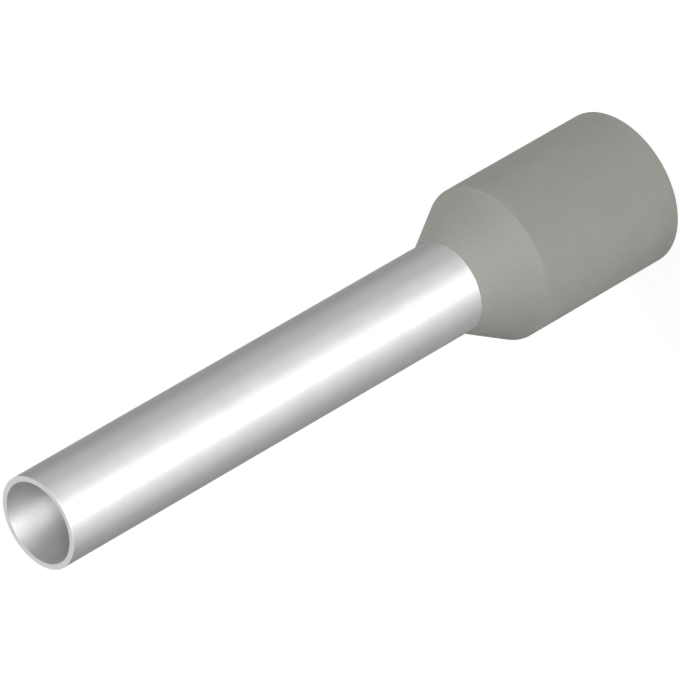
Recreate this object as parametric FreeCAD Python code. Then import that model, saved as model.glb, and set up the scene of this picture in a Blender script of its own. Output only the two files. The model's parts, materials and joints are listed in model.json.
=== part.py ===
import FreeCAD, Part
import math
import os

# Insulated wire ferrule for a stranded conductor of 4 square millimetres.
# A drawn copper sleeve, plated with tin, takes the stripped strands and is crimped on them.
# Its rear end is flared into a bell mouth, which seats in the tapered nose of a moulded
# plastic collar. The collar's wide bore takes the end of the wire's insulation.
# +Z runs along the common axis towards the sleeve's tip. The origin is the centre of the
# collar's rear face, on which the ferrule stands. Sizes are in millimetres.

# Lengths along the axis
sleeve_free_length = 18.0
collar_length = 8.0
nose_length = 1.9

# Sleeve: bore, wall, edges and the bend into its flare
sleeve_bore = 2.8
sleeve_wall = 0.2
sleeve_edge_radius = 0.04
bend_radius = 0.6

# Collar: wall, the step from the sleeve's outside to the wide bore, and the flat at the nose
collar_wall = 0.3
seat_step = 0.8
nose_flat = 0.03

# Clearance between the flare's rim and the wide bore
flare_gap = 0.1

# Collar: edges and the chamfer that leads the wire in
shoulder_radius = 0.1
rear_edge_radius = 0.05
mouth_chamfer = 0.1

# What follows from the sizes above
sleeve_inner_r = sleeve_bore / 2
sleeve_outer_r = sleeve_inner_r + sleeve_wall
collar_inner_r = sleeve_outer_r + seat_step
collar_outer_r = collar_inner_r + collar_wall
nose_r = sleeve_outer_r + nose_flat
shoulder_z = collar_length - nose_length
tip_z = collar_length + sleeve_free_length

# The nose, the seat inside it and the sleeve's flare are parallel cones of this half angle.
taper = math.atan2(collar_outer_r - nose_r, nose_length)


def seat_z(radius):
    """Height at which the conical seat, one collar wall inside the nose, has this radius."""
    below_nose = (radius - nose_r) / math.tan(taper)
    return collar_length - below_nose - collar_wall / math.sin(taper)


def profile_point(place):
    """The point of a section in the XZ plane from its radius and height."""
    radius, height = place
    return FreeCAD.Vector(radius, 0, height)


def rounded_corner(before, corner, after, radius):
    """The arc that rounds a corner of a section, and the points where it starts and ends."""
    back = (before - corner).normalize()
    ahead = (after - corner).normalize()
    half_angle = back.getAngle(ahead) / 2
    reach = radius / math.tan(half_angle)
    centre = corner + (back + ahead).normalize() * (radius / math.sin(half_angle))
    start = corner + back * reach
    end = corner + ahead * reach
    middle = centre + (corner - centre).normalize() * radius
    return Part.Arc(start, middle, end).toShape(), start, end


def turned(corners):
    """Solid of revolution about Z from the corners of its section.

    Each corner is its place, as radius and height, and its rounding. 0 leaves it sharp.
    """
    points = [profile_point(place) for place, rounding in corners]
    edges = []
    starts = []
    ends = []
    for index, (place, rounding) in enumerate(corners):
        start = end = points[index]
        if rounding > 0:
            after = points[(index + 1) % len(points)]
            arc, start, end = rounded_corner(points[index - 1], points[index], after, rounding)
            edges.append(arc)
        starts.append(start)
        ends.append(end)
    for index, end in enumerate(ends):
        next_start = starts[(index + 1) % len(starts)]
        edges.append(Part.LineSegment(end, next_start).toShape())
    section = Part.Face(Part.Wire(Part.__sortEdges__(edges)))
    return section.revolve(FreeCAD.Vector(0, 0, 0), FreeCAD.Vector(0, 0, 1), 360)


def crimp_sleeve():
    """The metal sleeve: a thin tube whose rear end opens into a bell mouth."""
    bend_z = seat_z(sleeve_outer_r)
    inner_bend_z = bend_z - sleeve_wall * math.tan(taper / 2)
    rim_r = collar_inner_r - flare_gap
    rim_z = seat_z(rim_r)
    inner_rim_r = rim_r - sleeve_wall * math.cos(taper)
    inner_rim_z = rim_z - sleeve_wall * math.sin(taper)
    return turned([
        ((sleeve_outer_r, tip_z), sleeve_edge_radius),
        ((sleeve_outer_r, bend_z), bend_radius),
        ((rim_r, rim_z), sleeve_edge_radius),
        ((inner_rim_r, inner_rim_z), sleeve_edge_radius),
        ((sleeve_inner_r, inner_bend_z), bend_radius + sleeve_wall),
        ((sleeve_inner_r, tip_z), sleeve_edge_radius),
    ])


def insulating_collar():
    """The plastic collar: a tapered nose that grips the bell mouth, and a wide bore behind it."""
    mouth_r = collar_inner_r + mouth_chamfer
    return turned([
        ((mouth_r, 0), 0),
        ((collar_outer_r, 0), rear_edge_radius),
        ((collar_outer_r, shoulder_z), shoulder_radius),
        ((nose_r, collar_length), 0),
        ((sleeve_outer_r, collar_length), 0),
        ((sleeve_outer_r, seat_z(sleeve_outer_r)), bend_radius),
        ((collar_inner_r, seat_z(collar_inner_r)), 0),
        ((collar_inner_r, mouth_chamfer), 0),
    ])


def main():
    """Builds each piece and writes it to its own file, named after the piece."""
    os.makedirs("parts", exist_ok=True)
    pieces = {
        "crimp_sleeve": crimp_sleeve(),
        "insulating_collar": insulating_collar(),
    }
    for name, shape in pieces.items():
        shape.exportStep(f"parts/{name}.step")
        print(f"{name}: {shape.Volume:.3f} cubic millimetres, valid {shape.isValid()}")


main()
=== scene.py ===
"""Insulated wire ferrule: the finish of its tinned sleeve and its grey collar.

The ferrule stands on its collar with the sleeve's open tip up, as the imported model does. Both
pieces are turned shapes: a closed section carried once round the Z axis. The section's sizes
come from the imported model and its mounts. Lengths are in metres.
"""

import json
import logging
import math
from dataclasses import dataclass
from enum import Enum
from typing import Any

import bpy
import numpy as np
from mathutils import Matrix, Vector


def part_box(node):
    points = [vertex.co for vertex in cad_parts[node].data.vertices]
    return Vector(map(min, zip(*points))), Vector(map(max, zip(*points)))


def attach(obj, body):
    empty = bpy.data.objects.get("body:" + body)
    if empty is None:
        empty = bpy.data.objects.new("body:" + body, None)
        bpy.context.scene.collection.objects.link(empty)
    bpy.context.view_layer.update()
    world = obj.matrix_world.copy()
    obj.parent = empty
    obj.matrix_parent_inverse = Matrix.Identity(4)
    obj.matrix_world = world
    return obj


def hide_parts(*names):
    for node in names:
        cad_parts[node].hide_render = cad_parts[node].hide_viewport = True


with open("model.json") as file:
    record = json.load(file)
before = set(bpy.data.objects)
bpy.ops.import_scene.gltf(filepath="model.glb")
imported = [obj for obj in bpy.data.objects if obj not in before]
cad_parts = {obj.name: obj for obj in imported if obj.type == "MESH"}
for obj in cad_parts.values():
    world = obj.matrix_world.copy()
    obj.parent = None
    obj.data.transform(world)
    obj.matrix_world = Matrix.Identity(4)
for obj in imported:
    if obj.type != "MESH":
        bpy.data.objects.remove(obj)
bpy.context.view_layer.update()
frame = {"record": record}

LOG = logging.getLogger("ferrule")

MM = 0.001
FULL_TURN = 2.0 * math.pi
ROOT_BODY = "root"
WEAR_ATTRIBUTE = "edge_wear"
INSIDE_ATTRIBUTE = "inside"

Y_AXIS = (0.0, 1.0, 0.0)
Z_AXIS = (0.0, 0.0, 1.0)

# Most of the noise lies between these values.
NOISE_LOW = 0.25
NOISE_HIGH = 0.75

# Share of an edge's wear that a grain breaks up.
BROKEN_SHARE = 0.5

Colour = tuple[float, float, float, float]


class Slot(Enum):
    """The record's material slots."""

    SLEEVE = "tinned_copper"
    COLLAR = "grey_plastic"


class Kind(Enum):
    """Kinds of socket on a shader node group."""

    VALUE = "NodeSocketFloat"
    VECTOR = "NodeSocketVector"


class Mix(Enum):
    """What a Mix node mixes: its data type and the places of its two inputs and its output.

    The sockets of all the kinds have the same names, so they are found by place.
    """

    NUMBER = ("FLOAT", 2, 3, 0)
    VECTOR = ("VECTOR", 4, 5, 1)
    COLOUR = ("RGBA", 6, 7, 2)


class Light(Enum):
    """What a softbox does: it shows in gloss, or it lights matte surfaces."""

    GLOSS = "gloss"
    MATTE = "matte"


@dataclass(frozen=True)
class FerruleSizes:
    """Sizes that the sleeve and the collar share."""

    bore_radius: float
    sleeve_radius: float
    mouth_radius: float
    collar_radius: float
    collar_length: float
    tip_height: float
    nose_length: float = 1.9 * MM
    nose_flat: float = 0.03 * MM
    flare_gap: float = 0.1 * MM
    bend_radius: float = 0.6 * MM

    @classmethod
    def from_frame(cls) -> "FerruleSizes":
        """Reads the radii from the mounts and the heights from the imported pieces.

        Returns:
            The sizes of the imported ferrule.
        """
        mounts = {mount["name"]: mount["dims"] for mount in frame["record"]["mounts"]}
        collar_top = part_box("insulating_collar")[1]
        sleeve_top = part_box("crimp_sleeve")[1]
        return cls(
            bore_radius=mounts["conductor_bore"]["r_mm"] * MM,
            sleeve_radius=mounts["sleeve_outside"]["r_mm"] * MM,
            mouth_radius=mounts["insulation_mouth"]["r_mm"] * MM,
            collar_radius=collar_top.x,
            collar_length=collar_top.z,
            tip_height=sleeve_top.z,
        )

    @property
    def sleeve_wall(self) -> float:
        """Thickness of the sleeve's wall."""
        return self.sleeve_radius - self.bore_radius

    @property
    def collar_wall(self) -> float:
        """Thickness of the collar's wall."""
        return self.collar_radius - self.mouth_radius

    @property
    def nose_radius(self) -> float:
        """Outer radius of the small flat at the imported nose."""
        return self.sleeve_radius + self.nose_flat

    @property
    def taper(self) -> float:
        """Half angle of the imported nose, which the seat and the flare share."""
        return math.atan2(self.collar_radius - self.nose_radius, self.nose_length)

    def seat_height(self, radius: float) -> float:
        """Height at which the conical seat has a given radius.

        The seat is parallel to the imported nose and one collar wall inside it.

        Args:
            radius: Radius on the seat.

        Returns:
            The height above the collar's rear face.
        """
        below_nose = (radius - self.nose_radius) / math.tan(self.taper)
        return self.collar_length - below_nose - self.collar_wall / math.sin(self.taper)


@dataclass(frozen=True)
class Corner:
    """One corner of a section: its place and rounding, and whether it is worn or in the bore."""

    radius: float
    height: float
    rounding: float
    worn: bool = False
    inside: bool = False


@dataclass(frozen=True)
class Section:
    """Closed section of a turned piece, its corners anticlockwise with radius to the right."""

    corners: tuple[Corner, ...]
    arc_points: int = 9
    run_points: int = 20
    wear_reach: float = 0.08 * MM

    def outline(self) -> tuple[np.ndarray, np.ndarray, np.ndarray]:
        """Works out the section's points, how worn they are and which are in the bore.

        Each corner becomes an arc of its rounding q, tangent to both sides. With h half the
        corner's angle, the arc starts and ends q / tan(h) from the corner, and its centre lies
        q / sin(h) from it on the bisector. A point on the arc is the centre plus q times the
        direction that turns evenly from the start's to the end's. The straight run to the next
        arc is divided by (1 - cos(pi t)) / 2, so its points crowd towards both ends. Wear is 1
        on a worn arc and falls off along the runs as exp(-distance / reach). A run is in the bore
        where both its corners are.

        Returns:
            Points as rows of radius and height, and for each point its wear and 1 in the bore.
        """
        places = np.array([(corner.radius, corner.height) for corner in self.corners])
        rounding = np.array([corner.rounding for corner in self.corners])[:, None]
        worn = np.array([float(corner.worn) for corner in self.corners])[:, None]

        back = unit_rows(np.roll(places, 1, axis=0) - places)
        ahead = unit_rows(np.roll(places, -1, axis=0) - places)
        half = np.arccos(np.clip((back * ahead).sum(axis=1, keepdims=True), -1.0, 1.0)) / 2.0
        starts = places + back * rounding / np.tan(half)
        ends = places + ahead * rounding / np.tan(half)
        centres = places + unit_rows(back + ahead) * rounding / np.sin(half)

        swing = (math.pi - 2.0 * half)[:, :, None]
        share = np.linspace(0.0, 1.0, self.arc_points)[None, :, None]
        arcs = centres[:, None, :] + (
            np.sin((1.0 - share) * swing) * (starts - centres)[:, None, :]
            + np.sin(share * swing) * (ends - centres)[:, None, :]
        ) / np.sin(swing)

        steps = np.linspace(0.0, 1.0, self.run_points + 2)[1:-1]
        crowded = ((1.0 - np.cos(math.pi * steps)) / 2.0)[None, :]
        run = np.roll(starts, -1, axis=0) - ends
        runs = ends[:, None, :] + run[:, None, :] * crowded[:, :, None]

        length = np.linalg.norm(run, axis=1)[:, None]
        arc_wear = np.broadcast_to(worn, (len(places), self.arc_points))
        run_wear = np.maximum(
            worn * np.exp(-length * crowded / self.wear_reach),
            np.roll(worn, -1, axis=0) * np.exp(-length * (1.0 - crowded) / self.wear_reach),
        )
        inside = np.array([float(corner.inside) for corner in self.corners])[:, None]
        arc_inside = np.broadcast_to(inside, arc_wear.shape)
        run_inside = np.broadcast_to(inside * np.roll(inside, -1, axis=0), run_wear.shape)

        points = np.concatenate([arcs, runs], axis=1).reshape(-1, 2)
        wear = np.concatenate([arc_wear, run_wear], axis=1).reshape(-1)
        return points, wear, np.concatenate([arc_inside, run_inside], axis=1).reshape(-1)


def unit_rows(rows: np.ndarray) -> np.ndarray:
    """Each row divided by its own length."""
    return rows / np.linalg.norm(rows, axis=1, keepdims=True)


def turned_mesh(name: str, section: Section, turns: int) -> bpy.types.Mesh:
    """Carries a section once round the Z axis.

    The point at a turn and a place along the outline is (r cos(turn), r sin(turn), h), where r
    and h are the outline's radius and height there. Both directions close on themselves, so
    the surface has no seam and no pole.

    Args:
        name: Name of the mesh.
        section: The closed section.
        turns: Number of steps in one full turn, a multiple of four.

    Returns:
        The closed mesh, smooth shaded, with each point's wear and place in the bore as
        attributes.
    """
    outline, wear, inside = section.outline()
    along = len(outline)
    turn = np.linspace(0.0, FULL_TURN, turns, endpoint=False)[:, None]
    radius, height = outline[:, 0], outline[:, 1]
    x = np.cos(turn) * radius
    y = np.sin(turn) * radius
    z = np.broadcast_to(height, x.shape)
    places = np.stack([x, y, z], axis=-1)

    ids = np.arange(turns * along).reshape(turns, along)
    next_turn = np.roll(ids, -1, axis=0)
    quads = np.stack(
        [ids, next_turn, np.roll(next_turn, -1, axis=1), np.roll(ids, -1, axis=1)], axis=-1
    )

    mesh = bpy.data.meshes.new(name)
    mesh.vertices.add(places.size // 3)
    mesh.vertices.foreach_set("co", places.ravel())
    mesh.loops.add(quads.size)
    mesh.loops.foreach_set("vertex_index", quads.ravel())
    mesh.polygons.add(quads.size // 4)
    mesh.polygons.foreach_set("loop_start", np.arange(0, quads.size, 4))
    mesh.polygons.foreach_set("use_smooth", np.ones(quads.size // 4, dtype=bool))
    mesh.update(calc_edges=True)
    for kind, values in ((WEAR_ATTRIBUTE, wear), (INSIDE_ATTRIBUTE, inside)):
        attribute = mesh.attributes.new(kind, "FLOAT", "POINT")
        attribute.data.foreach_set("value", np.tile(values, turns).astype(np.float32))
    return mesh


class NodeBench:
    """Places nodes in one node tree and joins their sockets."""

    def __init__(self, tree: bpy.types.NodeTree) -> None:
        """Clears the tree and keeps it."""
        tree.nodes.clear()
        self.tree = tree

    def place(self, kind: str, label: str, **settings: Any) -> bpy.types.Node:
        """Adds one node.

        Args:
            kind: Blender's name for the kind of node.
            label: What the node does here.
            **settings: Values of the node's own properties.

        Returns:
            The new node.
        """
        node = self.tree.nodes.new(kind)
        node.label = label
        for name, value in settings.items():
            setattr(node, name, value)
        return node

    def join(self, source: bpy.types.NodeSocket, target: bpy.types.NodeSocket) -> None:
        """Links an output to an input."""
        self.tree.links.new(source, target)

    def feed(self, value: Any, target: bpy.types.NodeSocket) -> None:
        """Sets an input to a plain value, or links it if the value is an output."""
        if isinstance(value, bpy.types.NodeSocket):
            self.join(value, target)
        else:
            target.default_value = value

    def reckon(self, kind: str, operation: str, label: str, *values: Any) -> bpy.types.Node:
        """Adds a node that works something out from its inputs.

        Args:
            kind: Blender's name for the kind of node.
            operation: What it works out, such as MULTIPLY.
            label: What the node does here.
            *values: Its inputs in order, each a plain value or an output to link.

        Returns:
            The new node.
        """
        node = self.place(kind, label, operation=operation)
        for socket, value in zip(node.inputs, values):
            self.feed(value, socket)
        return node

    def math(self, operation: str, label: str, *values: Any) -> bpy.types.NodeSocket:
        """Adds a Math node and gives its result."""
        return self.reckon("ShaderNodeMath", operation, label, *values).outputs["Value"]

    def vector_math(self, operation: str, label: str, *values: Any) -> bpy.types.NodeSocket:
        """Adds a Vector Math node and gives its vector."""
        return self.reckon("ShaderNodeVectorMath", operation, label, *values).outputs["Vector"]

    def carried(self, name: str, label: str) -> bpy.types.NodeSocket:
        """Reads an attribute that the mesh carries."""
        return self.place("ShaderNodeAttribute", label, attribute_name=name).outputs["Fac"]

    def spread(
        self, source: bpy.types.NodeSocket, label: str, low: float, high: float
    ) -> bpy.types.NodeSocket:
        """Maps a mask from 0 to 1 onto the stretch from low to high.

        Args:
            source: The mask.
            label: What the result is.
            low: Value where the mask is 0.
            high: Value where the mask is 1.

        Returns:
            The mapped value.
        """
        node = self.place("ShaderNodeMapRange", label)
        self.join(source, node.inputs["Value"])
        node.inputs["To Min"].default_value = low
        node.inputs["To Max"].default_value = high
        return node.outputs["Result"]

    def shared(
        self, first: bpy.types.NodeSocket, second: bpy.types.NodeSocket, label: str, share: float
    ) -> bpy.types.NodeSocket:
        """Adds up two masks by their shares, which make 1 together.

        Args:
            first: The mask that has the given share.
            second: The mask that has the rest.
            label: What the result is.
            share: The first mask's share.

        Returns:
            The sum.
        """
        rest = self.math("MULTIPLY", "the other's share", second, 1.0 - share)
        return self.math("MULTIPLY_ADD", label, first, share, rest)

    def blend(
        self, kind: Mix, mask: bpy.types.NodeSocket, label: str, low: Any, high: Any
    ) -> bpy.types.NodeSocket:
        """Mixes two values by a mask.

        Args:
            kind: What the values are.
            mask: 0 gives the low value and 1 the high one.
            label: What the result is.
            low: Value or output for mask 0.
            high: Value or output for mask 1.

        Returns:
            The mixed value.
        """
        data_type, low_place, high_place, result_place = kind.value
        node = self.place("ShaderNodeMix", label, data_type=data_type)
        self.join(mask, node.inputs["Factor"])
        self.feed(low, node.inputs[low_place])
        self.feed(high, node.inputs[high_place])
        return node.outputs[result_place]

    def blend_shaders(self, label: str, *sources: bpy.types.NodeSocket) -> bpy.types.NodeSocket:
        """Mixes two shaders by a mask.

        Args:
            label: What the result is.
            *sources: The mask, the shader where it is 0 and the shader where it is 1.

        Returns:
            The mixed shader.
        """
        node = self.place("ShaderNodeMixShader", label)
        for source, socket in zip(sources, node.inputs):
            self.join(source, socket)
        return node.outputs["Shader"]

    def relief(
        self, height: bpy.types.NodeSocket, label: str, distance: float
    ) -> bpy.types.NodeSocket:
        """Turns a height into a relief.

        Args:
            height: The height, from 0 to 1.
            label: What the relief stands for.
            distance: How far the surface rises from 0 to 1.

        Returns:
            The normal of the relief.
        """
        node = self.place("ShaderNodeBump", label)
        node.inputs["Distance"].default_value = distance
        self.join(height, node.inputs["Height"])
        return node.outputs["Normal"]


def grey(level: float) -> Colour:
    """An opaque neutral colour of one level."""
    return (level, level, level, 1.0)


def new_group(
    name: str, inputs: dict[str, tuple[Kind, float | None]], outputs: tuple[str, ...]
) -> tuple[NodeBench, bpy.types.Node, bpy.types.Node]:
    """Starts a shader node group with named sockets.

    Args:
        name: Name of the group.
        inputs: Kind and start value of each input by name.
        outputs: Names of the value outputs.

    Returns:
        The bench that holds the group's tree, its input node and its output node.
    """
    tree = bpy.data.node_groups.new(name, "ShaderNodeTree")
    bench = NodeBench(tree)
    for socket_name, (kind, value) in inputs.items():
        socket = tree.interface.new_socket(socket_name, in_out="INPUT", socket_type=kind.value)
        if value is not None:
            socket.default_value = value
    for socket_name in outputs:
        tree.interface.new_socket(socket_name, in_out="OUTPUT", socket_type=Kind.VALUE.value)
    return bench, bench.place("NodeGroupInput", "in"), bench.place("NodeGroupOutput", "out")


@dataclass(frozen=True)
class Grain:
    """A grain: its size across the axis, its octaves of noise and its stretch.

    The stretch is its size along the axis as a share of that across it. A small one turns round
    grains into lines round the piece.
    """

    size: float
    detail: float
    stretch: float = 1.0


@dataclass(frozen=True)
class Wear:
    """Wear of the edges: the size of its uneven patches and the share of it that shows."""

    patch_size: float
    amount: float


def grain_group() -> bpy.types.NodeTree:
    """Makes the group for grain, fine lines and cloudy tone.

    The place is divided by the grain's size, and along the axis also by its stretch. The noise
    there is spread so that it fills the stretch from 0 to 1.

    Returns:
        The group, with the grain as its output.
    """
    start = Grain(size=0.1 * MM, detail=2.0)
    bench, inside, outside = new_group(
        "surface_grain",
        {
            "Place": (Kind.VECTOR, None),
            "Size": (Kind.VALUE, start.size),
            "Stretch": (Kind.VALUE, start.stretch),
            "Detail": (Kind.VALUE, start.detail),
        },
        ("Grain",),
    )
    across = bench.math("DIVIDE", "grains per metre", 1.0, inside.outputs["Size"])
    along = bench.math("DIVIDE", "grains per metre along", across, inside.outputs["Stretch"])
    scale = bench.place("ShaderNodeCombineXYZ", "grain scale")
    for source, socket in zip((across, across, along), scale.inputs):
        bench.join(source, socket)
    place = bench.vector_math(
        "MULTIPLY", "place in grains", inside.outputs["Place"], scale.outputs["Vector"]
    )
    noise = bench.place("ShaderNodeTexNoise", "grain noise", noise_dimensions="3D")
    noise.inputs["Scale"].default_value = 1.0
    bench.join(place, noise.inputs["Vector"])
    bench.join(inside.outputs["Detail"], noise.inputs["Detail"])
    spread = bench.place("ShaderNodeMapRange", "spread to full range")
    bench.join(noise.outputs["Fac"], spread.inputs["Value"])
    spread.inputs["From Min"].default_value = NOISE_LOW
    spread.inputs["From Max"].default_value = NOISE_HIGH
    bench.join(spread.outputs["Result"], outside.inputs["Grain"])
    return bench.tree


def edge_wear_group(grain: bpy.types.NodeTree) -> bpy.types.NodeTree:
    """Makes the group for edges that handling has smoothed.

    One share of the wear that the mesh carries stays as it is, and a grain breaks up the other.

    Args:
        grain: The group for grain.

    Returns:
        The group, with the worn share of each place as its output.
    """
    start = Wear(patch_size=0.1 * MM, amount=1.0)
    bench, inside, outside = new_group(
        "edge_wear",
        {
            "Place": (Kind.VECTOR, None),
            "Wear": (Kind.VALUE, 0.0),
            "Patch Size": (Kind.VALUE, start.patch_size),
            "Amount": (Kind.VALUE, start.amount),
        },
        ("Mask",),
    )
    patches = bench.place("ShaderNodeGroup", "uneven patches", node_tree=grain)
    bench.join(inside.outputs["Place"], patches.inputs["Place"])
    bench.join(inside.outputs["Patch Size"], patches.inputs["Size"])
    whole = inside.outputs["Wear"]
    broken = bench.math("MULTIPLY", "broken wear", whole, patches.outputs["Grain"])
    uneven = bench.shared(broken, whole, "wear, partly broken", BROKEN_SHARE)
    amount = bench.math("MULTIPLY", "amount of wear", uneven, inside.outputs["Amount"])
    limit = bench.place("ShaderNodeClamp", "at most all worn")
    bench.join(amount, limit.inputs["Value"])
    bench.join(limit.outputs["Result"], outside.inputs["Mask"])
    return bench.tree


@dataclass(frozen=True)
class Effects:
    """The shader node groups that both finishes use."""

    grain: bpy.types.NodeTree
    edge_wear: bpy.types.NodeTree

    @classmethod
    def make(cls) -> "Effects":
        """Builds each group once."""
        grain = grain_group()
        return cls(grain=grain, edge_wear=edge_wear_group(grain))

    def add_grain(
        self, bench: NodeBench, place: bpy.types.NodeSocket, label: str, grain: Grain
    ) -> bpy.types.NodeSocket:
        """Adds a grain to a material.

        Args:
            bench: The material's bench.
            place: The object's own coordinates.
            label: What the grain stands for.
            grain: Its size, detail and stretch.

        Returns:
            The grain, from 0 to 1.
        """
        node = bench.place("ShaderNodeGroup", label, node_tree=self.grain)
        bench.join(place, node.inputs["Place"])
        node.inputs["Size"].default_value = grain.size
        node.inputs["Stretch"].default_value = grain.stretch
        node.inputs["Detail"].default_value = grain.detail
        return node.outputs["Grain"]

    def add_edge_wear(
        self, bench: NodeBench, place: bpy.types.NodeSocket, wear: Wear
    ) -> bpy.types.NodeSocket:
        """Adds worn edges to a material.

        Args:
            bench: The material's bench.
            place: The object's own coordinates.
            wear: Its patches and its amount.

        Returns:
            The worn share, from 0 to 1.
        """
        node = bench.place("ShaderNodeGroup", "worn edges", node_tree=self.edge_wear)
        bench.join(place, node.inputs["Place"])
        bench.join(bench.carried(WEAR_ATTRIBUTE, "wear on the mesh"), node.inputs["Wear"])
        node.inputs["Patch Size"].default_value = wear.patch_size
        node.inputs["Amount"].default_value = wear.amount
        return node.outputs["Mask"]


def new_material(
    name: str,
) -> tuple[bpy.types.Material, NodeBench, bpy.types.Node, bpy.types.NodeSocket]:
    """Starts a material with one Principled shader.

    Args:
        name: Name of the material.

    Returns:
        The material, its bench, the shader and the object's own coordinates.
    """
    material = bpy.data.materials.new(name)
    material.use_nodes = True
    bench = NodeBench(material.node_tree)
    output = bench.place("ShaderNodeOutputMaterial", "surface")
    shader = bench.place("ShaderNodeBsdfPrincipled", name)
    bench.join(shader.outputs["BSDF"], output.inputs["Surface"])
    place = bench.place("ShaderNodeTexCoord", "object's own coordinates").outputs["Object"]
    return material, bench, shader, place


@dataclass(frozen=True)
class SatinTin:
    """Satin tin plating with very fine faint lines round the sleeve, and a faint cloudy tone.

    The lines spread every reflection along the axis, so lights show as long even bands. The
    plating is rougher in the bore, where nothing polishes it, and its colour is darker there as
    painted shade of the hollow.
    """

    pale: float = 0.91
    dull: float = 0.87
    cloud_tone_share: float = 0.4
    # Colour of the plating in the bore, darkened as painted shade of the hollow.
    bore_painted_shade: float = 0.57
    smooth: float = 0.44
    rough: float = 0.48
    cloud_roughness_share: float = 0.5
    worn_rough: float = 0.40
    bore_roughening: float = 0.25
    anisotropy: float = 0.85
    quarter_turn: float = 0.25
    lines: Grain = Grain(size=2.4 * MM, detail=2.0, stretch=0.035)
    clouds: Grain = Grain(size=0.7 * MM, detail=3.0)
    wear: Wear = Wear(patch_size=0.12 * MM, amount=0.8)
    relief_height: float = 0.0003 * MM

    def make(self, effects: Effects) -> bpy.types.Material:
        """Builds the material.

        Args:
            effects: The shared node groups.

        Returns:
            The material of the sleeve.
        """
        material, bench, shader, place = new_material("satin_tin")
        lines = effects.add_grain(bench, place, "fine lines round it", self.lines)
        clouds = effects.add_grain(bench, place, "cloudy tone", self.clouds)
        worn = effects.add_edge_wear(bench, place, self.wear)
        bore = bench.carried(INSIDE_ATTRIBUTE, "in the bore")

        tone = bench.shared(clouds, lines, "tone", self.cloud_tone_share)
        colour = bench.blend(Mix.COLOUR, tone, "tin colour", grey(self.dull), grey(self.pale))
        # Painted shade: the plating's colour turns darker in the bore, standing in for the hollow's
        # shade.
        colour = bench.blend(Mix.COLOUR, bore, "painted shade in the bore", colour, grey(self.bore_painted_shade))
        bench.join(colour, shader.inputs["Base Color"])

        uneven = bench.shared(clouds, lines, "roughness mask", self.cloud_roughness_share)
        satin = bench.spread(uneven, "satin roughness", self.smooth, self.rough)
        satin = bench.blend(Mix.NUMBER, worn, "smoother on edges", satin, self.worn_rough)
        gain = bench.math("MULTIPLY_ADD", "rougher in the bore", bore, self.bore_roughening, 1.0)
        roughness = bench.math("MULTIPLY", "roughness here", satin, gain)
        bench.join(roughness, shader.inputs["Roughness"])

        relief = bench.relief(lines, "relief of the lines", self.relief_height)
        bench.join(relief, shader.inputs["Normal"])
        bench.join(self.line_direction(bench), shader.inputs["Tangent"])
        shader.inputs["Anisotropic"].default_value = self.anisotropy
        shader.inputs["Anisotropic Rotation"].default_value = self.quarter_turn
        shader.inputs["Metallic"].default_value = 1.0
        return material

    def line_direction(self, bench: NodeBench) -> bpy.types.NodeSocket:
        """Adds the direction of the fine lines.

        On the walls it is the Z axis cross the place, which runs round the sleeve. On the cut
        ends, whose normal is along Z, it is the Y axis, as a shear leaves them.

        Args:
            bench: The material's bench.

        Returns:
            The direction.
        """
        coords = bench.place("ShaderNodeTexCoord", "place and normal")
        around = bench.vector_math(
            "CROSS_PRODUCT", "round the sleeve", Z_AXIS, coords.outputs["Object"]
        )
        around = bench.vector_math("NORMALIZE", "of length 1", around)
        split = bench.place("ShaderNodeSeparateXYZ", "normal along Z")
        bench.join(coords.outputs["Normal"], split.inputs["Vector"])
        cut_end = bench.math("ABSOLUTE", "on a cut end", split.outputs["Z"])
        return bench.blend(Mix.VECTOR, cut_end, "lines on walls and ends", around, Y_AXIS)


@dataclass(frozen=True)
class MouldedGrey:
    """Matte grey moulded plastic: a fine spark-eroded grain and a faint uneven tone."""

    pale: Colour = (0.350, 0.354, 0.322, 1.0)
    deep: Colour = (0.291, 0.295, 0.267, 1.0)
    worn: Colour = (0.353, 0.357, 0.326, 1.0)
    cloud_tone_share: float = 0.35
    smooth: float = 0.58
    rough: float = 0.74
    gloss: float = 0.3
    refraction: float = 1.49
    grain: Grain = Grain(size=0.045 * MM, detail=2.0)
    clouds: Grain = Grain(size=0.9 * MM, detail=3.0)
    wear: Wear = Wear(patch_size=0.15 * MM, amount=0.4)
    relief_height: float = 0.0020 * MM

    def make(self, effects: Effects) -> bpy.types.Material:
        """Builds the material.

        Args:
            effects: The shared node groups.

        Returns:
            The material of the collar.
        """
        material, bench, shader, place = new_material("moulded_grey_plastic")
        grain = effects.add_grain(bench, place, "mould grain", self.grain)
        clouds = effects.add_grain(bench, place, "uneven tone", self.clouds)
        worn = effects.add_edge_wear(bench, place, self.wear)

        tone = bench.shared(clouds, grain, "tone", self.cloud_tone_share)
        colour = bench.blend(Mix.COLOUR, tone, "plastic colour", self.deep, self.pale)
        colour = bench.blend(Mix.COLOUR, worn, "paler on edges", colour, self.worn)
        bench.join(colour, shader.inputs["Base Color"])
        roughness = bench.spread(grain, "matte roughness", self.smooth, self.rough)
        bench.join(roughness, shader.inputs["Roughness"])

        relief = bench.relief(grain, "mould grain relief", self.relief_height)
        bench.join(relief, shader.inputs["Normal"])
        shader.inputs["IOR"].default_value = self.refraction
        shader.inputs["Specular IOR Level"].default_value = self.gloss
        return material


def stand_for_node(piece: bpy.types.Object, node: str, finish: bpy.types.Material) -> None:
    """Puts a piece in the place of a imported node.

    Args:
        piece: The new piece, its place in its mesh.
        node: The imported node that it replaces.
        finish: Its material.
    """
    bpy.context.scene.collection.objects.link(piece)
    piece.data.materials.append(finish)
    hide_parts(node)
    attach(piece, ROOT_BODY)


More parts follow.
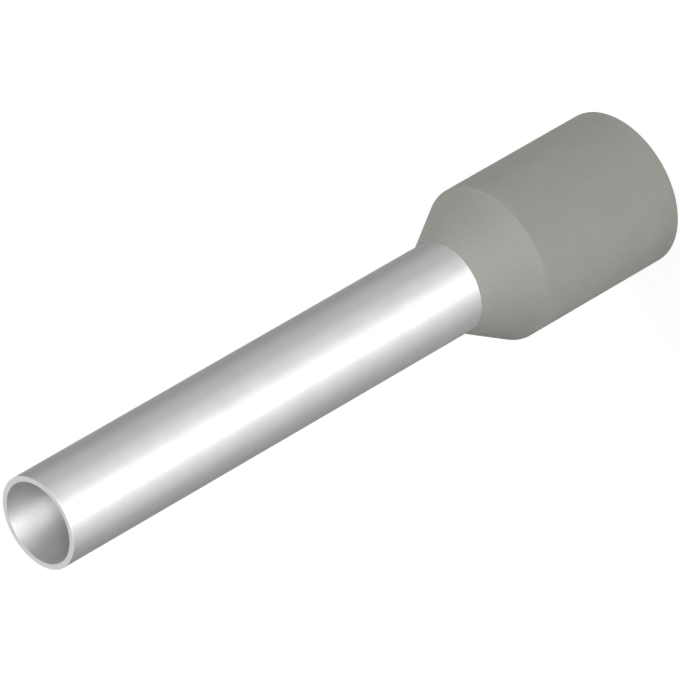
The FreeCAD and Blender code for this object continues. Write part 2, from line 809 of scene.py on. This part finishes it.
@dataclass(frozen=True)
class CrimpSleeve:
    """The tinned sleeve: a thin tube whose rear end opens into a bell mouth."""

    sizes: FerruleSizes
    edge_radius: float = 0.012 * MM
    turns: int = 256

    def section(self) -> Section:
        """Section of the tube, its bend and its flare, which follows the collar's seat.

        Returns:
            The closed section.
        """
        sizes = self.sizes
        bend_height = sizes.seat_height(sizes.sleeve_radius)
        inner_bend_height = bend_height - sizes.sleeve_wall * math.tan(sizes.taper / 2.0)
        rim_radius = sizes.mouth_radius - sizes.flare_gap
        rim_height = sizes.seat_height(rim_radius)
        inner_rim_radius = rim_radius - sizes.sleeve_wall * math.cos(sizes.taper)
        inner_rim_height = rim_height - sizes.sleeve_wall * math.sin(sizes.taper)
        inner_bend_radius = sizes.bend_radius + sizes.sleeve_wall
        return Section((
            Corner(sizes.sleeve_radius, sizes.tip_height, self.edge_radius, worn=True),
            Corner(sizes.bore_radius, sizes.tip_height, self.edge_radius, worn=True, inside=True),
            Corner(sizes.bore_radius, inner_bend_height, inner_bend_radius, inside=True),
            Corner(inner_rim_radius, inner_rim_height, self.edge_radius, worn=True, inside=True),
            Corner(rim_radius, rim_height, self.edge_radius, worn=True),
            Corner(sizes.sleeve_radius, bend_height, sizes.bend_radius),
        ))

    def build(self, finish: bpy.types.Material) -> bpy.types.Object:
        """Builds and dresses the sleeve.

        Args:
            finish: The tin plating.

        Returns:
            The piece.
        """
        mesh = turned_mesh("tinned_sleeve", self.section(), self.turns)
        piece = bpy.data.objects.new("tinned_sleeve", mesh)
        stand_for_node(piece, "crimp_sleeve", finish)
        return piece


@dataclass(frozen=True)
class InsulatingCollar:
    """The moulded collar: a tapered nose that grips the sleeve, and a wide bore behind it.

    The nose ends in a sharp lip, and a hairline groove lies between the lip and the sleeve.
    """

    sizes: FerruleSizes
    shoulder_radius: float = 0.1 * MM
    rear_edge_radius: float = 0.05 * MM
    crisp_radius: float = 0.01 * MM
    mouth_chamfer: float = 0.1 * MM
    lip_rounding: float = 0.005 * MM
    groove_width: float = 0.008 * MM
    groove_depth: float = 0.05 * MM
    groove_rounding: float = 0.002 * MM
    turns: int = 256

    def section(self) -> Section:
        """Section of the collar, from its rear face round the outside to its bore.

        Returns:
            The closed section.
        """
        sizes = self.sizes
        shoulder_height = sizes.collar_length - sizes.nose_length
        seat_top = sizes.seat_height(sizes.sleeve_radius)
        seat_foot = sizes.seat_height(sizes.mouth_radius)
        mouth_edge = sizes.mouth_radius + self.mouth_chamfer
        lip_radius = sizes.sleeve_radius + self.groove_width
        groove_foot = sizes.collar_length - self.groove_depth
        return Section((
            Corner(mouth_edge, 0.0, self.crisp_radius),
            Corner(sizes.collar_radius, 0.0, self.rear_edge_radius, worn=True),
            Corner(sizes.collar_radius, shoulder_height, self.shoulder_radius, worn=True),
            Corner(lip_radius, sizes.collar_length, self.lip_rounding),
            Corner(sizes.sleeve_radius, groove_foot, self.groove_rounding),
            Corner(sizes.sleeve_radius, seat_top, sizes.bend_radius),
            Corner(sizes.mouth_radius, seat_foot, self.crisp_radius),
            Corner(sizes.mouth_radius, self.mouth_chamfer, self.crisp_radius),
        ))

    def build(self, finish: bpy.types.Material) -> bpy.types.Object:
        """Builds and dresses the collar.

        Args:
            finish: The grey plastic.

        Returns:
            The piece.
        """
        mesh = turned_mesh("grey_collar", self.section(), self.turns)
        piece = bpy.data.objects.new("grey_collar", mesh)
        stand_for_node(piece, "insulating_collar", finish)
        return piece


@dataclass(frozen=True)
class Softbox:
    """A rectangular softbox that faces the ferrule.

    Its azimuth is in degrees from the front, which is -Y, towards +X, and its elevation is in
    degrees above the floor. Its level is the brightness that it gives to a white card which
    faces it. Some softboxes show in gloss alone, and others light what is matte.
    """

    name: str
    azimuth: float
    elevation: float
    level: float
    width: float = 0.12
    height: float = 0.12
    distance: float = 0.30
    light: Light = Light.GLOSS

    def hang(self, aim: Vector) -> None:
        """Hangs the softbox.

        An area lamp of power P gives a surface that faces it at the distance d the light
        P / (pi d^2), and a white card there sends back 1 / pi of that.

        Args:
            aim: The point that it faces.
        """
        around, up = math.radians(self.azimuth), math.radians(self.elevation)
        flat = math.cos(up)
        toward = Vector((math.sin(around) * flat, -math.cos(around) * flat, math.sin(up)))
        lamp = bpy.data.lights.new(self.name, "AREA")
        lamp.shape = "RECTANGLE"
        lamp.size = self.width
        lamp.size_y = self.height
        lamp.energy = self.level * (math.pi * self.distance) ** 2
        holder = bpy.data.objects.new(self.name, lamp)
        holder.location = aim + toward * self.distance
        holder.rotation_mode = "QUATERNION"
        holder.rotation_quaternion = toward.to_track_quat("Z", "Y")
        holder.visible_camera = False
        holder.visible_diffuse = self.light is Light.MATTE
        holder.visible_glossy = self.light is Light.GLOSS
        bpy.context.scene.collection.objects.link(holder)


@dataclass(frozen=True)
class Studio:
    """The pale floor, the softboxes and the surroundings.

    Each of the floor's tones has its azimuth in degrees from the front towards +X.
    """

    floor_size: float = 1.0
    floor_colour: float = 0.8
    seen_share: float = 0.65
    camera_white: float = 1.3
    sky_even: float = 0.15
    sky_bright: float = 0.71
    sky_azimuth: float = 164.0
    softboxes: tuple[Softbox, ...] = (
        Softbox("low_gloss", -20.0, 10.0, 0.28),
        Softbox("side_gloss", -45.0, 30.0, 0.14),
        Softbox("high_gloss", 50.0, 58.0, 0.30, width=0.14, height=0.14),
        Softbox("main_strip", -10.0, 42.0, 0.95, width=0.20, height=0.14),
        Softbox("edge_strip", -38.0, 42.0, 0.32, width=0.12, height=0.14),
        Softbox("low_strip", 22.0, 20.0, 0.36, width=0.28, height=0.14),
        Softbox("right_strip", -70.0, 30.0, 0.24, width=0.16, height=0.14),
        Softbox("left_strip", 75.0, 30.0, 0.065, width=0.16, height=0.14),
        Softbox("key_softbox", -15.0, 25.0, 0.31, light=Light.MATTE),
        Softbox("low_softbox", -30.0, 5.0, 0.41, light=Light.MATTE),
        Softbox("side_softbox", 90.0, 40.0, 0.43, light=Light.MATTE),
    )
    tones: tuple[tuple[float, float], ...] = (
        (-180.0, 0.0),
        (-149.0, 0.0),
        (-104.0, 0.42),
        (-59.0, 0.31),
        (-14.0, 0.0),
        (31.0, 0.0),
        (76.0, 0.46),
        (121.0, 0.0),
    )

    def build(self, aim: Vector) -> None:
        """Builds everything around the ferrule.

        Args:
            aim: The ferrule's middle, which the softboxes face.
        """
        self.lay_floor()
        self.hang_sky()
        for softbox in self.softboxes:
            softbox.hang(aim)

    def lay_floor(self) -> None:
        """Lays the floor that the ferrule stands on."""
        half = self.floor_size / 2.0
        corners = [(-half, -half, 0.0), (half, -half, 0.0), (half, half, 0.0), (-half, half, 0.0)]
        mesh = bpy.data.meshes.new("floor")
        mesh.from_pydata(corners, [], [tuple(range(len(corners)))])
        mesh.materials.append(self.floor_finish())
        floor = bpy.data.objects.new("floor", mesh)
        bpy.context.scene.collection.objects.link(floor)

    def floor_finish(self) -> bpy.types.Material:
        """Builds the material of the floor.

        Camera, glossy and transmission rays see it mostly by a light of its own. It is white for
        the camera. For the others it is graded round the ferrule, pale at both sides and dark in
        front and behind. The rest is lit paint, which keeps the shadow.

        Returns:
            The material of the floor.
        """
        material = bpy.data.materials.new("pale_floor")
        material.use_nodes = True
        bench = NodeBench(material.node_tree)
        output = bench.place("ShaderNodeOutputMaterial", "surface")
        rays = bench.place("ShaderNodeLightPath", "kind of ray").outputs
        tone = self.graded_tone(bench)
        level = bench.blend(
            Mix.NUMBER, rays["Is Camera Ray"], "white or graded", tone, self.camera_white
        )
        own = bench.place("ShaderNodeEmission", "light of its own")
        bench.join(level, own.inputs["Strength"])
        paint = bench.place("ShaderNodeBsdfDiffuse", "lit paint")
        paint.inputs["Color"].default_value = grey(self.floor_colour)

        seen = bench.math("MAXIMUM", "eye or gloss", rays["Is Camera Ray"], rays["Is Glossy Ray"])
        seen = bench.math("MAXIMUM", "or transmission", seen, rays["Is Transmission Ray"])
        share = bench.math("MULTIPLY", "share of its own light", seen, self.seen_share)
        floor = bench.blend_shaders(
            "floor as seen", share, paint.outputs["BSDF"], own.outputs["Emission"]
        )
        bench.join(floor, output.inputs["Surface"])
        return material

    def graded_tone(self, bench: NodeBench) -> bpy.types.NodeSocket:
        """Adds the tone of the floor by its direction from the ferrule.

        The direction is the angle from the front, arctan(x / -y). The ramp of tones starts and
        ends behind the ferrule, with the front at its middle. Between two given directions the
        tone turns smoothly from the one's to the other's.

        Args:
            bench: The floor material's bench.

        Returns:
            The tone.
        """
        coords = bench.place("ShaderNodeTexCoord", "place on the floor")
        split = bench.place("ShaderNodeSeparateXYZ", "along and across")
        bench.join(coords.outputs["Object"], split.inputs["Vector"])
        forward = bench.math("MULTIPLY", "towards the front", split.outputs["Y"], -1.0)
        angle = bench.math("ARCTAN2", "angle from the front", split.outputs["X"], forward)
        middle = 0.5
        share = bench.math("MULTIPLY_ADD", "share of a turn", angle, 1.0 / FULL_TURN, middle)
        ramp = bench.place("ShaderNodeValToRGB", "tones round the ferrule")
        ramp.color_ramp.interpolation = "EASE"
        top = max(tone for _, tone in self.tones)
        stops = ramp.color_ramp.elements
        stops.remove(stops[-1])
        for number, (azimuth, tone) in enumerate(self.tones):
            place = math.radians(azimuth) / FULL_TURN + middle
            stop = stops[0] if number == 0 else stops.new(place)
            stop.color = grey(tone / top)
        bench.join(share, ramp.inputs["Fac"])
        return bench.math("MULTIPLY", "graded tone", ramp.outputs["Color"], top)

    def hang_sky(self) -> None:
        """Surrounds the ferrule with soft grey, brightest on the level behind it.

        The light from a direction is the even level, plus the bright level times the cosine of
        the angle from the brightest direction, where that is above 0. The camera sees white.
        """
        world = bpy.data.worlds.new("studio")
        world.use_nodes = True
        bpy.context.scene.world = world
        bench = NodeBench(world.node_tree)
        output = bench.place("ShaderNodeOutputWorld", "surroundings")
        rays = bench.place("ShaderNodeLightPath", "kind of ray").outputs
        room = bench.place("ShaderNodeTexCoord", "direction in the room").outputs
        around = math.radians(self.sky_azimuth)
        brightest = (math.sin(around), -math.cos(around), 0.0)
        cosine = bench.reckon(
            "ShaderNodeVectorMath", "DOT_PRODUCT", "cosine", room["Generated"], brightest
        )
        near = bench.math("MAXIMUM", "only above 0", cosine.outputs["Value"], 0.0)
        level = bench.math("MULTIPLY_ADD", "graded level", near, self.sky_bright, self.sky_even)
        soft = bench.place("ShaderNodeBackground", "soft light")
        soft.inputs["Color"].default_value = grey(1.0)
        bench.join(level, soft.inputs["Strength"])
        white = bench.place("ShaderNodeBackground", "white for the camera")
        white.inputs["Color"].default_value = grey(1.0)
        sky = bench.blend_shaders(
            "surroundings as seen",
            rays["Is Camera Ray"],
            soft.outputs["Background"],
            white.outputs["Background"],
        )
        bench.join(sky, output.inputs["Surface"])


@dataclass(frozen=True)
class PhotoCamera:
    """A long lens at the photograph's angle: an isometric view of the axis, turned in the frame."""

    elevation: float = math.atan(1.0 / math.sqrt(2.0))
    axis_slope: float = math.radians(30.0)
    distance: float = 0.300
    frame_pixels: float = 680.0
    pixels_per_metre: float = 31514.0
    middle_pixel: tuple[float, float] = (335.3, 351.2)
    sensor: float = 36.0
    clip_ratio: float = 10.0

    def build(self, middle: Vector) -> None:
        """Sets up the camera.

        With e the elevation and s the slope, the camera looks back along (0, -cos e, sin e). The
        frame is turned by a right angle plus the slope, so the axis falls to the lower left.

        Args:
            middle: The middle of the ferrule's axis, which shows at the middle pixel.
        """
        back = Vector((0.0, -math.cos(self.elevation), math.sin(self.elevation)))
        level = Vector((1.0, 0.0, 0.0))
        rise = Vector((0.0, math.sin(self.elevation), math.cos(self.elevation)))
        right = -math.sin(self.axis_slope) * level - math.cos(self.axis_slope) * rise
        up = math.cos(self.axis_slope) * level - math.sin(self.axis_slope) * rise

        centre = self.frame_pixels / 2.0
        off_right = (self.middle_pixel[0] - centre) / self.pixels_per_metre
        off_up = (centre - self.middle_pixel[1]) / self.pixels_per_metre
        target = middle - right * off_right - up * off_up

        lens = bpy.data.cameras.new("photo_camera")
        lens.sensor_width = self.sensor
        lens.lens = self.sensor * self.distance * self.pixels_per_metre / self.frame_pixels
        lens.clip_start = self.distance / self.clip_ratio
        lens.clip_end = self.distance * self.clip_ratio
        holder = bpy.data.objects.new("photo_camera", lens)
        turned = Matrix((right, up, back)).transposed().to_4x4()
        holder.matrix_world = Matrix.Translation(target + back * self.distance) @ turned
        bpy.context.scene.collection.objects.link(holder)
        bpy.context.scene.camera = holder


def report_piece(piece: bpy.types.Object, slot: Slot) -> None:
    """Logs a finished piece.

    Args:
        piece: The piece.
        slot: The record's material slot for the piece, whose name is logged.
    """
    triangles = sum(len(face.vertices) - 2 for face in piece.data.polygons)
    LOG.info("%s: %d triangles, slot %s", piece.name, triangles, slot.value)


def main() -> None:
    """Builds the pieces, the studio and the camera in order."""
    logging.basicConfig(level=logging.INFO, format="%(name)s: %(message)s")
    bpy.context.scene.view_settings.view_transform = "Standard"
    sizes = FerruleSizes.from_frame()
    effects = Effects.make()
    report_piece(CrimpSleeve(sizes).build(SatinTin().make(effects)), Slot.SLEEVE)
    report_piece(InsulatingCollar(sizes).build(MouldedGrey().make(effects)), Slot.COLLAR)
    middle = Vector((0.0, 0.0, sizes.tip_height / 2.0))
    Studio().build(middle)
    PhotoCamera().build(middle)


if __name__ == "__main__":
    main()
